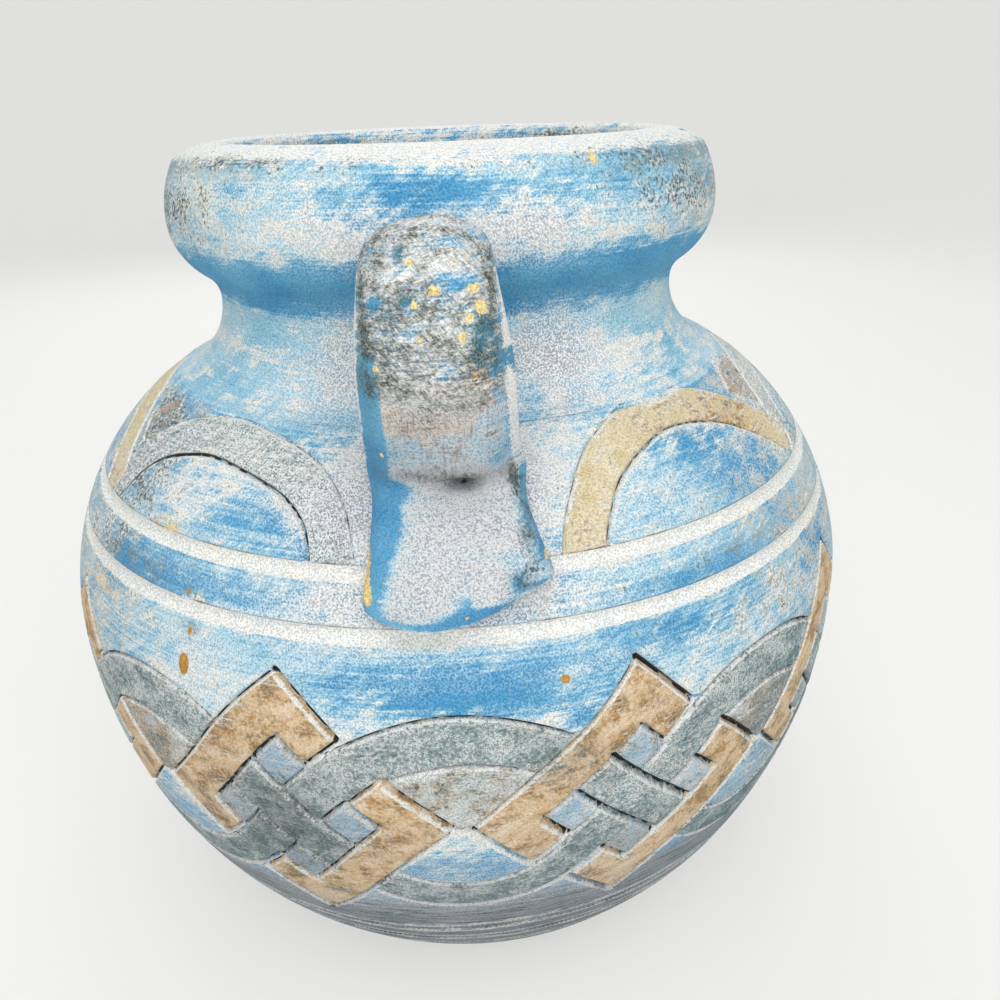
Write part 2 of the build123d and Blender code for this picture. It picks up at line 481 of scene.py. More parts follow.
def lineSide(x, y, line):
    # distance from many points to a line of straight runs, and how far each point lies above it there
    best, above = np.full(np.shape(x), 1e9), np.zeros(np.shape(x))
    for a, b in zip(line, line[1:]):
        run = b - a
        t = np.clip(((x - a[0]) * run[0] + (y - a[1]) * run[1]) / (run @ run), 0, 1)
        away = np.hypot(x - a[0] - t * run[0], y - a[1] - t * run[1])
        above = np.where(away < best, y - a[1] - t * run[1], above)
        best = np.minimum(best, away)
    return best, above


def bandGap(x, y, bands, laps=(0,)):
    # distance to the nearest of several lines, some of them a turn further round
    return np.min([lineSide(x + lap * turnLength, y, band)[0] for band in bands for lap in laps], axis=0)


def insideCorners(x, y, corners):
    turns = []
    for a, b in zip(corners, np.roll(corners, -1, axis=0)):
        turns.append((b[0] - a[0]) * (y - a[1]) - (b[1] - a[1]) * (x - a[0]))
    return (np.min(turns, axis=0) > 0) | (np.max(turns, axis=0) < 0)


def mirrored(points):
    return [(180 - az if az > 0 else -180 - az, s) for az, s in points]


ochreBands, greyBands = (
    [throughPoints(p) for p in (shoulder[arch], mirrored(shoulder[arch]), shoulder[middle])]
    for arch, middle in (("ochreArch", "ochreMiddle"), ("greyArch", "greyMiddle"))
)
bothDiamonds = shoulder["diamonds"] + [mirrored(d) for d in shoulder["diamonds"]]
diamonds = [np.array(d, float) * [degree, 1] for d in bothDiamonds]

# Lines turned on the wheel: finger grooves on the shoulder and rings above the foot, as the solid has them,
# with the mesh's columns round the jar and its rows across a line
turnedLines = {
    "grooves": {
        "heights": (126.4, 116.2), "width": 3.6, "depth": 1.1, "columns": 720,
        "across": (-2.4, -1.8, -1.4, -0.7, 0, 0.7, 1.4, 1.8, 2.4),
    },
    "rings": {
        "heights": (33.0, 25.0, 16.0), "width": 2.4, "depth": 0.7, "columns": 480,
        "across": (-1.9, -1.2, -0.6, 0, 0.6, 1.2, 1.9),
    },
}
grooveRows, ringRows = ([alongWall(z) for z in how["heights"]] for how in turnedLines.values())


def turnedDepth(y):
    depth = np.zeros(np.shape(y))
    for how in turnedLines.values():
        width, deep = how["width"], how["depth"]
        tool = (width * width / 4 + deep * deep) / (2 * deep)
        for height in how["heights"]:
            reach = np.clip(abs(y - alongWall(height)), 0, width / 2)
            depth = np.maximum(depth, np.sqrt(tool * tool - reach * reach) - (tool - deep))
    return depth


def shoulderLines():
    half = shoulder["half"]
    lines = []

    def onFloor(x, y):
        return y < grooveRows[0] + shoulder["floorGap"]

    def underOchre(x, y):
        return onFloor(x, y) | (bandGap(x, y, ochreBands) < half + shoulder["bandTuck"])

    def underBands(x, y):
        return bandGap(x, y, ochreBands + greyBands) < half + shoulder["diamondTuck"]

    for bands, hidden, deep in ((ochreBands, onFloor, "ochreCut"), (greyBands, underOchre, "innerCut")):
        for band in bands:
            start, end = band[1] - band[0], band[-1] - band[-2]
            inward = math.copysign(half, start[0] * end[1] - start[1] * end[0])
            for offset, how in ((inward, deep), (-inward, "outerCut")):
                for run in visibleRuns(besideLine(band, offset), hidden):
                    lines.append((run, *shoulder[how]))
    # free ends of the ochre bands are cut round
    for band, tips in zip(ochreBands, ((-1,), (-1,), (0, -1))):
        for tip in tips:
            out = band[tip] - band[tip + 1 if tip == 0 else tip - 1]
            turn = math.atan2(out[1], out[0]) + np.radians(np.linspace(-90, 90, 13))
            roundEnd = band[tip] + half * np.stack([np.cos(turn), np.sin(turn)], 1)
            lines.append((roundEnd, *shoulder["outerCut"]))
    for diamond in diamonds:
        for side in zip(diamond, np.roll(diamond, -1, axis=0)):
            for run in visibleRuns(np.array(side), underBands):
                lines.append((run, *shoulder["diamondCut"]))
    return lines


# How the lines become a mesh, in mm: steps along a line, rows of points, how close points may lie
carving = {
    "trace": 0.5,
    "shortest": 4,  # steps
    "step": 1.25,
    "lip": 0.45,
    "grid": 2.3,
    "gridRow": 0.87,  # of the grid's step
    "stir": 0.2,
    "border": (0.5, 0.6),
    "cell": 1.2,
    "edgeRows": 150,
    "edgeClear": 0.2,
    "cutClear": 0.24,
    "gridClear": 1.1,
    "reach": 7,
    # shape of a cut, soot in it leaning to its upper wall as painted shade, its rubbed lower lip, also a
    # painted highlight, and the bank of clay beside it
    "hollow": 0.8,
    "sootAndShadeShare": (0.3, 0.95),
    "upperShadeLean": 0.4,
    "rubAndHighlightWidth": 0.3,
    "rubAndHighlightShare": (0.1, 0.7),
    "burr": (0.1, 0.4, 0.35),
    "seamAz": 160.0,  # the unrolled wall is closed here, between two carved units at the back
    # hand drift of the frieze, as for the wobble, and where it fades out above the foot and below the grooves
    "driftRound": [(5, 0, 0.07, 0.7), (11, 0, -0.13, 0.4)],
    "driftUp": [(4, 2.2, 0.05, 0.8), (13, 0, 0.11, 0.35)],
    "driftFades": ((20, 30), (-3, -9)),
    # finer points for paint drips: azimuth, mm up the wall, half width, half height
    "drips": [(-32, 19, 3, 8), (-33.2, 32.2, 2, 2), (11.6, 20, 2, 2)],
    "dripStep": 0.55,
}
wallLow, wallHigh = alongWall(jar["footBevel"]), alongWall(seamLow)
wallLeft, wallRight = (carving["seamAz"] - 360) * degree, carving["seamAz"] * degree


def allLines():
    lines = []
    for unit in range(frieze["units"]):
        middle = np.array([(frieze["first"] + unitTurn * unit) * degree, frieze["middle"]])
        for points, half, depth, ink in unitLines():
            vary = dice.uniform(*frieze["vary"])
            lines.append((points + middle, half * vary, depth * vary, ink * vary))
    lines += shoulderLines()
    placed = []
    for points, *cut in lines:
        for lap in (-2, -1, 0, 1):
            moved = points + [lap * turnLength, 0]
            if moved[:, 0].max() > wallLeft - 3 and moved[:, 0].min() < wallRight + 3:
                placed.append((moved, *cut))
    return placed


lines = allLines()
print("drawn", len(lines), "carved lines")


def wallPoints():
    # close points along cuts, turned lines and drips, an even net elsewhere
    step = carving["step"]
    rows = []
    for points, half, *cut in lines:
        fine = resampled(points, lambda long: np.linspace(0, long, max(2, int(long / step) + 1)))
        lip = half + carving["lip"]
        for offset in (0, -0.5 * half, 0.5 * half, -half, half, -lip, lip):
            rows.append(besideLine(fine, offset))
    for how in turnedLines.values():
        columns = how["columns"]
        around = np.arange(columns) * turnLength / columns + wallLeft
        for height in how["heights"]:
            for i, offset in enumerate(how["across"]):
                shifted = around + (i % 2) * turnLength / columns / 2
                rows.append(np.stack([shifted, np.full(columns, alongWall(height) + offset)], 1))
    for az, s, wide, tall in carving["drips"]:
        u, v = np.meshgrid(*(np.arange(-size, size, carving["dripStep"]) for size in (wide, tall)))
        for lap in (0, -180):
            rows.append(np.stack([(az + lap) * degree + u.ravel(), s + v.ravel()], 1))
    drawn = np.concatenate(rows)
    beside, ends = carving["border"]
    inside = (drawn[:, 0] > wallLeft + beside) & (drawn[:, 0] < wallRight - beside)
    drawn = drawn[inside & (drawn[:, 1] > wallLow + ends) & (drawn[:, 1] < wallHigh - ends)]
    grid, stir = carving["grid"], carving["stir"]
    across = np.arange(wallLeft + grid, wallRight - grid / 2, grid)
    x, y = np.meshgrid(across, np.arange(wallLow + grid, wallHigh - grid / 2, grid * carving["gridRow"]))
    x[::2] += grid / 2
    net = np.stack([x.ravel(), y.ravel()], 1) + dice.uniform(-stir, stir, (x.size, 2))
    taken, kept, cell = {}, [], carving["cell"]

    def place(point, clear):
        # a point too close to an earlier one is left out
        column, row = int(point[0] // cell), int(point[1] // cell)
        for i in (-1, 0, 1):
            for j in (-1, 0, 1):
                for other in taken.get((column + i, row + j), ()):
                    if (other[0] - point[0]) ** 2 + (other[1] - point[1]) ** 2 < clear * clear:
                        return
        taken.setdefault((column, row), []).append(point)
        kept.append(point)

    for edge in (wallLeft, wallRight):
        for height in np.linspace(wallLow, wallHigh, carving["edgeRows"])[1:-1]:
            place((edge, height), carving["edgeClear"])
    for point in drawn.tolist():
        place(point, carving["cutClear"])
    for point in net.tolist():
        place(point, carving["gridClear"])
    around = np.linspace(wallLeft, wallRight, bowl["columns"] + 1)
    border = [(x, y) for y in (wallLow, wallHigh) for x in around]
    return np.array(border + kept)


def cutMarks(x, y):
    # what the cuts do at each point: depth, soot with painted shade, rubbed lip with a painted highlight, and
    # how far off the nearest cut's edge is
    depth, dark, bright = np.zeros((3, len(x)))
    nearest = np.full(len(x), 9.0)
    for line, half, deep, ink in lines:
        low, high = line.min(0) - carving["reach"], line.max(0) + carving["reach"]
        near = np.flatnonzero((x > low[0]) & (x < high[0]) & (y > low[1]) & (y < high[1]))
        away, above = lineSide(x[near], y[near], line)
        share = np.clip(1 - away / half, 0, 1)
        depth[near] = np.maximum(depth[near], deep * share ** carving["hollow"])
        # soot lies in the cut and leans to its upper wall as painted shade; its lower lip is rubbed white,
        # which is also a painted highlight
        leaning = share * (1 + carving["upperShadeLean"] * np.sign(above))
        dark[near] = np.maximum(dark[near], ink * smooth(*carving["sootAndShadeShare"], leaning))
        lower = smooth(*carving["rubAndHighlightShare"], -above / (away + 0.01))
        bright[near] = np.maximum(bright[near], bump(away, half, carving["rubAndHighlightWidth"]) * lower)
        nearest[near] = np.minimum(nearest[near], away - half)
    return depth, dark, bright, nearest


# Inside, floor and underside of the bowl, turned on the wheel
bowl = {
    "columns": 360,
    "throatDrop": 1.5,
    "upperRows": 22,
    "lowerStep": 4,
    "floor": [(58, 12.2), (52, 11.2), (44, 11), (30, 11), (15, 11.1), (4, 11.2)],
    "underside": [(55, 0), (40, 0), (20, 0), (5, 0)],
    "wobbleFrom": 45,
    "wobbleShare": 0.5,
}


def insideProfile():
    wall = jar["wall"]
    bend = shoulderArc - wall
    full = math.asin((seamLow - bellyHeight - bowl["throatDrop"]) / bend)
    up = np.linspace(0, full, bowl["upperRows"])[::-1]
    upper = np.stack([bellyRadius - shoulderArc + bend * np.cos(up), bellyHeight + bend * np.sin(up)], 1)
    corner = (jar["footRadius"] - wall, jar["floor"])
    lower = uprightArc((bellyRadius - wall, bellyHeight), corner, bowl["lowerStep"])[1:]
    return np.concatenate([[(jar["mouthRadius"], seamLow)], upper, lower, bowl["floor"]])


def carvedBowl():
    solved = delaunay_2d_cdt([Vector(p) for p in wallPoints().tolist()], [], [], 0, 1e-5)
    points = np.array([tuple(p) for p in solved[0]])
    faces = np.array(solved[2])
    print("unrolled wall", len(points), "points", len(faces), "faces")
    x, y = points.T
    depth, dark, bright, nearest = cutMarks(x, y)
    turned = turnedDepth(y)
    az = x / degree
    loads = wallLoads(az, y, dark, bright, turned)
    low, high = carving["driftFades"]
    drift = stretch(y, [wallLow + s for s in low], [grooveRows[1] + s for s in high])
    az = (x + drift * waves(carving["driftRound"], az, y)) / degree
    y = y + drift * waves(carving["driftUp"], x / degree, y)
    radius, height, flat, lift = wallAt(y)
    rise, middle, spread = carving["burr"]
    burr = rise * bump(nearest, middle, spread) * (nearest > 0)
    push = handWobble(az, height) + burr - np.maximum(depth, turned)
    body = roundJar(az, radius + push * flat, height + push * lift)
    # close the unrolled wall: points on the right edge are the left edge's points
    same = np.arange(len(points))
    leftEdge = {round(v, 4): i for i, (u, v) in enumerate(points) if abs(u - wallLeft) < 1e-4}
    for i, (u, v) in enumerate(points):
        if abs(u - wallRight) < 1e-4:
            same[i] = leftEdge[round(v, 4)]
    allPoints, allFaces = [body], [f for f in same[faces].tolist() if len(set(f)) == 3]
    count, columns = len(body), bowl["columns"]
    ringAz = np.arange(columns) + wallLeft / degree
    underside = [(jar["footRadius"] - jar["footBevel"], 0), *bowl["underside"]]
    for edge, profile, inward in ((wallHigh, insideProfile(), True), (wallLow, underside, False)):
        edgePoints = sorted((u, same[i]) for i, (u, v) in enumerate(points) if abs(v - edge) < 1e-4)
        ring = [i for u, i in edgePoints][:columns]
        for radius, height in profile:
            if radius > bowl["wobbleFrom"] and inward:
                radius = radius + handWobble(ringAz, height) * bowl["wobbleShare"]
            allPoints.append(roundJar(ringAz, radius, np.full(columns, height)))
        allPoints.append(np.array([[0, 0, profile[-1][1]]]))
        tip = count + len(profile) * columns
        index = ring + list(range(count, tip))
        rings = [tuple(index[i] for i in face) for face in ringFaces(len(profile) + 1, columns, False)]
        last = index[-columns:]
        rings += [(last[i], last[(i + 1) % columns], tip) for i in range(columns)]
        allFaces += rings if inward else [face[::-1] for face in rings]
        count = tip + 1
    rest = insideLoads(np.concatenate(allPoints[1:])[:, 2])
    # points that no face uses are dropped
    used = np.unique(np.concatenate([np.asarray(f) for f in allFaces]))
    order = np.full(count, -1)
    order[used] = np.arange(len(used))
    everyFace = [tuple(int(order[i]) for i in f) for f in allFaces]
    loads = {load: np.concatenate([loads[load], rest[load]])[used] for load in paints}
    everyPoint = np.concatenate(allPoints)[used]
    makePiece("carved_bowl", everyPoint, everyFace, loads, ["thrown_bowl"])


# Where each paint lies thick or thin: azimuth, place up the wall or height, spread of both, change of load
wallPatches = {
    "white": [
        (-14, 55, 7, 14, 0.2), (10.5, 60, 3.5, 18, 0.4), (-40, 52, 12, 6, 0.1), (48, 60, 8, 8, 0.1),
        (-57, 35, 9, 6, 0.2), (-9, 35, 6, 5, 0.3), (10, 36, 6, 4, 0.2), (0, 8, 22, 5, 0.1),
        (2, 19, 13, 4.5, -0.5), (-24, 22, 12, 4, -0.2), (32, 48, 16, 6, -0.2), (-28, 34.5, 15, 3, -0.3),
        (35, 32.5, 18, 2, -0.3), (32, 71, 22, 6, 0.16), (-27, 50, 6, 4, -0.35), (-32, 70, 8, 6, -0.2),
        (55, 69, 7, 5, -0.25), (22, 24, 8, 3, -0.3),
    ],
    "pale": [
        (2, 19, 13, 4.5, -0.5), (-28, 34, 15, 3, -0.35), (20, 62, 8, 12, 0.2), (35, 32.5, 18, 1.8, -0.35),
        (-27, 50, 6, 4, -0.3), (32, 48, 14, 5, -0.2), (55, 69, 7, 5, -0.3), (22, 24, 8, 3, -0.3),
    ],
    "mist": [
        (-13, 52, 7, 14, 0.5), (9.5, 58, 3.5, 16, 0.5), (0, 33, 14, 5, 0.45), (-60, 50, 14, 14, 0.15),
        (0, -37, 7, 7, 0.3),
    ],
    "soot": [
        (-52, 50, 8, 12, 0.14), (-58, 66, 8, 8, 0.12), (40, 34, 18, 5, 0.07), (35, 22, 20, 7, 0.06),
        (-45, 33, 12, 4, 0.12), (44, -14, 12, 18, 0.12),
    ],
    "chip": [
        (38, 36, 16, 4, 0.06), (40, 22, 18, 6, 0.06), (-55, 20, 12, 10, 0.06), (58, 30, 10, 10, 0.06),
        (-52, 25, 5, 2.5, 0.16), (-40, 43, 3, 1.2, 0.22), (11.6, 20, 0.8, 1.2, 0.7),
    ],
    "rust": [(54, 59, 9, 8, 0.14), (24, 60, 6, 8, -0.12)],
    "drip": [
        (-32, 16.6, 0.8, 2.2, 1.4), (-31.9, 24.4, 0.5, 1.7, 0.8), (-33.2, 32.2, 0.5, 1.2, 0.8),
        (11.6, 20, 0.55, 0.95, 1.2),
    ],
    "teal": [
        (-31.6, 24, 1.6, 4, 0.14), (-50, 33, 14, 3, 0.1), (45, 34, 16, 3, 0.08), (-58, 60, 8, 8, 0.1),
        (44, -14, 12, 18, 0.16), (14, 3, 4, 4, 0.18),
    ],
    "hatch": [(12, 0, 5, 8, 0.14), (-22, -14, 9, 12, 0.14), (19, -14, 6, 6, -0.08)],
    "sand": [(12, 0, 5, 8, 0.16), (-22, -14, 9, 12, 0.18), (19, -14, 6, 6, -0.1)],
}
collarPatches = {
    "white": [
        (2, 192, 13, 3, -0.32), (35, 152, 24, 8, 0.16), (-14, 185, 7, 5, 0.2), (13, 186, 8, 3, 0.3),
        (-34, 187, 9, 4, -0.15), (40, 193, 14, 3, -0.2), (-55, 162, 20, 6, -0.15), (55, 162, 18, 6, -0.15),
        (-60, 157, 20, 1.2, 0.35), (50, 156, 20, 1.2, 0.3),
    ],
    "pale": [(2, 192, 13, 3, -0.36), (-34, 187, 9, 4, 0.15), (40, 193, 14, 3, -0.1)],
    "mist": [(-20, 158, 10, 12, 0.4), (22, 158, 13, 12, 0.45), (14, 184, 9, 5, 0.35), (-12, 182, 6, 5, 0.3)],
    "soot": [
        (-58, 188, 15, 8, 0.17), (46, 190, 18, 7, 0.2), (-32, 197.6, 26, 1.2, 0.18),
        (34, 197.4, 28, 1.2, 0.1), (90, 188, 24, 8, 0.1), (-90, 188, 24, 8, 0.1),
    ],
    "hatch": [
        (-62, 187, 14, 7, 0.38), (-44, 191, 16, 5, 0.2), (58, 188, 13, 7, 0.36), (-36, 198, 24, 1.0, 0.4),
        (38, 197.8, 26, 1.0, 0.36), (90, 188, 20, 7, 0.3),
    ],
    "teal": [
        (-36, 198.0, 24, 1.1, 0.28), (38, 197.8, 26, 1.1, 0.08), (-58, 188, 15, 8, 0.02),
        (56, 189, 14, 8, 0.1), (90, 197.4, 30, 1.2, 0.1), (-90, 188, 24, 7, 0.1), (90, 188, 24, 7, 0.1),
    ],
    "fleck": [(-46, 191, 22, 5, 0.14)],
    "chip": [
        (29, 196.6, 1.0, 1.6, 0.8), (-52, 197, 1.6, 0.8, 0.5), (-57, 178, 2, 1, 0.4), (40, 196, 5, 1.5, 0.2),
    ],
}


def patched(patches, across, up):
    loads = {load: np.zeros(len(up)) for load in [*paints, *patches]}
    for load, rows in patches.items():
        for middle, height, wide, tall, amount in rows:
            loads[load] += amount * across(middle, wide) * bump(up, height, tall)
    return loads


def roundPatch(az):
    # the rear handle's side is painted like the front's
    return lambda middle, wide: sum(bump(turnGap(az, middle + lap), 0, wide) for lap in (0, 180))


def wallLoads(az, s, dark, bright, turned):
    x, y = az * degree, s - frieze["middle"]
    unit = (x - frieze["first"] * degree + pitch / 2) % pitch - pitch / 2
    between = (x - frieze["first"] * degree) % pitch - pitch / 2
    # bands, and what lies between them
    hook = inHook(unit, y)
    rise, fall = slanted(unit, y)
    inRing = np.maximum(abs(rise), abs(fall)) < inner
    grey = inRing & (np.minimum(abs(rise), abs(fall)) < strand)
    for bend, half, up in archStrands:
        grey |= ~inRing & (bandGap(between, y, [archEdge(bend, 0.0) * [1, up]]) < half)
    cream = ~inRing & ~grey & ~hook & (y > 0) & (y < 21) & (abs(between) < 20)
    grey &= ~hook
    square = inRing & ~grey
    aboveGroove = s > grooveRows[0] + 1.6
    ochre = aboveGroove & (bandGap(x, s, ochreBands, (0, 1)) < shoulder["half"])
    greyArch = aboveGroove & ~ochre & (bandGap(x, s, greyBands, (0, 1)) < shoulder["half"])
    band = hook | ochre | grey | greyArch
    field = ~band
    inDiamond = [insideCorners(x + lap * turnLength, s, d) for d in diamonds for lap in (-1, 0, 1)]
    rose = field & np.any(inDiamond, axis=0)
    # zones up the wall, away from the handle and beside the turned lines
    # base greys and darkens the foot, partly as painted shade under the belly; below and low darken the wall
    # under the frieze
    base, below, low = smooth(-30, -58, s), smooth(-14, -30, s), smooth(-4, -22, s)
    bare = field * (1 - base)
    speckled = smooth(24, 56, handleGap(az)) * bare
    gold = smooth(14, 40, handleGap(az)) * bare
    groove = smooth(0.02, 0.3, turned) * (s > 0)
    # painted shadow along the upper edge of each finger groove
    grooveTopShadow = np.max([bump(s - row, 1.9, 0.4) for row in grooveRows], axis=0)
    beside = np.max([bump(abs(s - row), 3.6, 1.2) for row in grooveRows], axis=0)
    ringLip = np.max([bump(abs(s - row), 1.9, 0.9) for row in ringRows], axis=0)
    ringDark = np.max([bump(s - row, 0.2, 0.5) for row in ringRows], axis=0)
    # share of each paint times the zone that gets it
    loads = patched(wallPatches, roundPatch(az), s)
    loads["blue"] += 1.0 * field - 0.45 * cream
    # the foot's grey wash, partly painted shade
    loads["washAndShade"] += 1.1 * base * field + 0.25 * below * field
    loads["pale"] = np.where(square, 0.64, (0.66 + loads["pale"] - 0.2 * below - 0.18 * speckled) * bare)
    loads["tan"] += 1.0 * hook + 0.5 * cream
    loads["ochre"] += ochre
    loads["grey"] += grey | greyArch
    loads["rose"] += rose
    loads["rust"] += 0.45 * hook + 0.36 * ochre + 0.4 * cream + 0.3 * rose + 0.34 * speckled
    loads["teal"] += np.where(grey, 0.43, 0.26) - 0.1 * hook + 0.14 * greyArch + 0.12 * base + 0.08 * beside
    loads["teal"] += 0.18 * speckled + 0.12 * square + 0.05 * cream + 0.05 * low * grey
    loads["fleck"] += 0.22 + 0.28 * speckled + 0.08 * grey
    white = 0.47 + loads["white"] - 0.12 * below - 0.1 * speckled
    white = np.where(field, white, np.where(hook, 0.25, 0.31)) * (1 - 0.7 * base)
    white = np.where(square | rose, 0.43, white + 0.14 * greyArch - 0.16 * beside) - 0.14 * cream
    # bright is the cuts' rubbed white lower lips, also painted highlights
    loads["white"] = np.maximum(white, groove * 1.15) + 0.5 * bright + 0.65 * ringLip
    loads["mist"] += np.where(band, 0.2, 0.28) + 0.05 * base - 0.3 * groove
    loads["mist"] = np.where(square, 0.5, loads["mist"]) + 0.14 * below * bare + 0.12 * cream
    loads["sand"] += 0.16 + 0.12 * grey + 0.06 * hook + 0.14 * base - 0.16 * groove + 0.16 * square
    loads["sand"] += 0.14 * below * field + 0.06 * low * band
    loads["hatch"] += 0.34 * rose + (0.32 + 0.06 * low) * grey + (0.22 + 0.06 * low) * hook
    loads["hatch"] += 0.24 * greyArch + 0.35 * cream + 0.32 * square
    loads["soot"] += 0.23 + 0.12 * speckled + 0.09 * grey + 0.08 * base - 0.08 * hook
    loads["soot"] *= 1 - 0.7 * groove
    # cut: soot in the cuts with painted shade on their upper walls, painted shadow under each groove's upper
    # edge, and dark in the foot rings
    loads["cut"] += dark + 0.54 * grooveTopShadow + 0.3 * ringDark
    loads["chip"] = np.where(cream, 0.36, loads["chip"] + 0.06 + 0.1 * bright + 0.28 * gold)
    join = smooth(69, 73, s)
    above = collarLoads(az, wallAt(s)[1], np.full(len(s), True))
    return {load: loads[load] * (1 - join) + above[load] * join for load in paints}


def collarLoads(az, height, outside):
    # the band under the rolled rim (shade) is painted darker as painted shade; the neck below it (neck) is
    # painted paler as painted light, and bluer
    top, face, neck = smooth(196.8, 198.9, height), smooth(177, 182, height), smooth(168, 164, height)
    speckled = smooth(18, 50, handleGap(az)) * face
    edge = bump(height, 195.8, 1.8) * smooth(4, 14, handleGap(az))
    shade = bump(height, 173.5, 5)
    loads = patched(collarPatches, roundPatch(az), height)
    loads["blue"] += 1.0
    loads["pale"] += 0.52 + 0.18 * face + 0.28 * neck - 0.55 * shade
    loads["white"] += 0.4 + 0.08 * face + 0.26 * top - 0.46 * shade - 0.12 * edge
    for load in ("pale", "white"):
        loads[load] = np.where(outside, loads[load], 0.5)
    loads["mist"] += 0.24 - 0.04 * neck - 0.22 * shade
    loads["teal"] += 0.22 + 0.2 * speckled + 0.12 * edge
    loads["fleck"] += 0.2 + 0.26 * speckled
    loads["sand"] += 0.14 - 0.06 * neck
    loads["soot"] += 0.2 + 0.06 * speckled + 0.06 * edge
    loads["chip"] += 0.06 + 0.08 * speckled
    return loads


def insideLoads(height):
    # painted near the mouth, bare clay below
    near = 1 - smooth(147, 100, height)
    amounts = {"blue": 0.8 * near, "pale": 0.5 * near, "white": 0.3 * near, "mist": np.full(len(near), 0.4)}
    return {load: amounts.get(load, 0 * near) for load in paints}


carvedBowl()

# Collar: neck and rolled rim in one turned profile
collar = {"columns": 300, "step": 1.1, "lipStep": 0.66, "throatRows": 24, "lipInside": 2, "slipInside": 1}


def swapped(points):
    return points[:, ::-1]


def collarProfile():
    step = collar["step"]
    root, waist = (jar["rootRadius"], jar["rootHeight"]), (jar["neckRadius"], jar["neckHeight"])
    bulge = (jar["collarRadius"], jar["collarHeight"])
    share = jar["collarTurn"]
    turn = (waist[0] + share * (bulge[0] - waist[0]), waist[1] + share * (bulge[1] - waist[1]))
    crease = (bulge[0] - jar["creaseInset"], rimHeight - jar["creaseDrop"])
    lipTop = (jar["mouthRadius"] + jar["lipRound"], rimHeight)
    lipInside = (jar["mouthRadius"], rimHeight - jar["lipRound"])
    neck = uprightArc(waist, root, step)[::-1]
    neck = neck[neck[:, 1] > seamHigh + 0.1]
    fine = uprightArc(waist, root, 0.2)[::-1]
    start = np.interp(seamHigh, fine[:, 1], fine[:, 0])
    under = uprightArc(waist, turn, step)[1:]
    roll = uprightArc(bulge, turn, step)[::-1][1:]
    face = uprightArc(bulge, crease, step)[1:]
    slope = swapped(uprightArc(lipTop[::-1], crease[::-1], step))[::-1][1:]
    lip = swapped(uprightArc(lipTop[::-1], lipInside[::-1], collar["lipStep"]))[1:]
    down = np.linspace(lipInside[1], seamHigh, collar["throatRows"])[1:]
    throat = np.array([(jar["mouthRadius"], z) for z in down])
    return np.concatenate([[(start, seamHigh)], neck, under, roll, face, slope, lip, throat])


def turnedRing(name, profile, throat, replaced):
    # a closed profile turned round the axis, painted as inside where it is narrower than the throat
    az = np.linspace(-180, 180, collar["columns"], endpoint=False)
    gridAz, row = np.meshgrid(az, np.arange(len(profile)))
    height = profile[row, 1]
    radius = profile[row, 0] + handWobble(gridAz, height)
    points = roundJar(gridAz, radius, height).reshape(-1, 3)
    loads = collarLoads(gridAz.ravel(), height.ravel(), radius.ravel() > throat)
    makePiece(name, points, ringFaces(len(profile), len(az), True), loads, replaced)


lipEdge = jar["mouthRadius"] + jar["lipRound"] - collar["lipInside"]
turnedRing("rolled_collar_rim", collarProfile(), lipEdge, ["rolled_collar"])

# Pulled strap handle: outer and inner face as (radius, height) from the collar over the crest to the tip,
# and how far it reaches left and right of its line at the same places. Other places are shares of its length.
strap = {
    "outer": [
        (60, 182), (71, 187.8), (82, 190), (91.5, 187.5), (98, 180), (101, 170.5), (100.3, 160),
        (96.5, 150.5), (91.5, 144.2), (93.3, 138.6), (97.8, 130.8), (101.2, 124.2), (101.8, 120),
    ],
    "inner": [
        (58, 168.5), (65.5, 174), (74, 177), (81, 176), (86, 171.5), (88, 164), (87, 156.5),
        (83, 149.5), (78, 143.2), (80, 137), (86, 129.5), (91, 122.5), (95, 118.5),
    ],
    "left": [12, 12.4, 12.7, 12.7, 12.5, 12.4, 12.3, 12.4, 13.2, 14.2, 15.2, 16.4, 16.2],
    "right": [9.4, 9.8, 10.1, 10.2, 10.3, 10.4, 10.5, 10.9, 12.5, 15, 17.9, 19.4, 18],
    "squarer": (0.8, (0.25, 0.6)),
    "backFlare": (3.0, 4.2),
    "flarePlaces": ((0.16, 0.44), (0.78, 0.64)),
    "flareBehind": (0.5, -0.7),
    "tipCurve": (6.2, 3.0),
    "tipPlace": (0.8, 0.2, 1.5),
    "dent": (3.2, 0.668, 3.0, 0.016, 3.4),
    "thumb": (2.0, 0.78, 9.0, 0.09, 0.9),
    "steps": 130,
    "around": 84,
}
